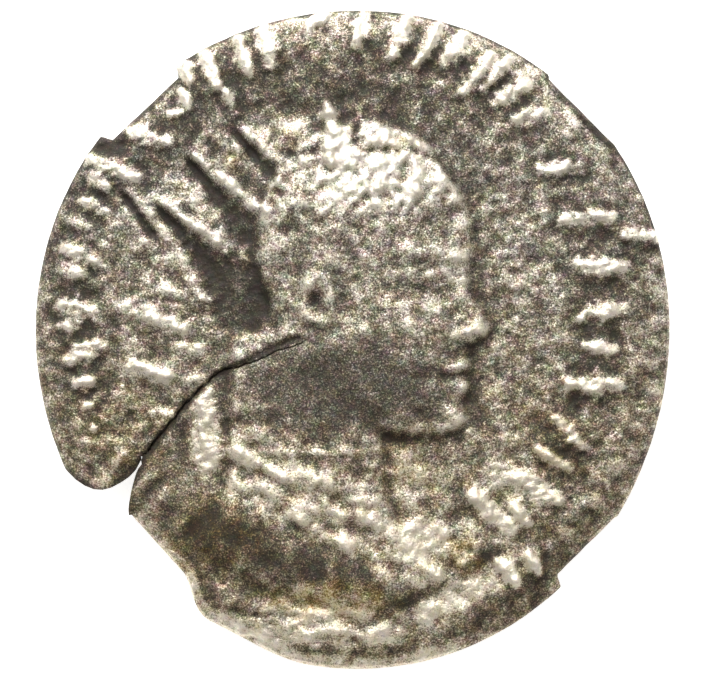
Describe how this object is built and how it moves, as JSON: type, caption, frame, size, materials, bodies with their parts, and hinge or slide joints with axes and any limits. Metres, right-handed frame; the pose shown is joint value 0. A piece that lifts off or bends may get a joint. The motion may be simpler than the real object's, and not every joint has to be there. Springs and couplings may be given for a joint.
{
  "type": "struck silver coin",
  "caption": "Worn struck silver coin of the double denarius kind: radiate draped bust facing right, strokes round it, a notch and crack at the edge.",
  "frame": {"origin": "under the middle of the coin, on the plane that the worn reverse rests on", "axes": "+Z out of the obverse, +Y to the top of the bust, +X to the right, the way the bust faces"},
  "size_m": [0.0212, 0.022, 0.0019],
  "materials": {
    "toned_silver": "struck base silver, worn bright on the high relief, grey-brown toning and olive deposits in the hollows"
  },
  "bodies": {
    "root": {"coin": "toned_silver"}
  },
  "joints": []
}
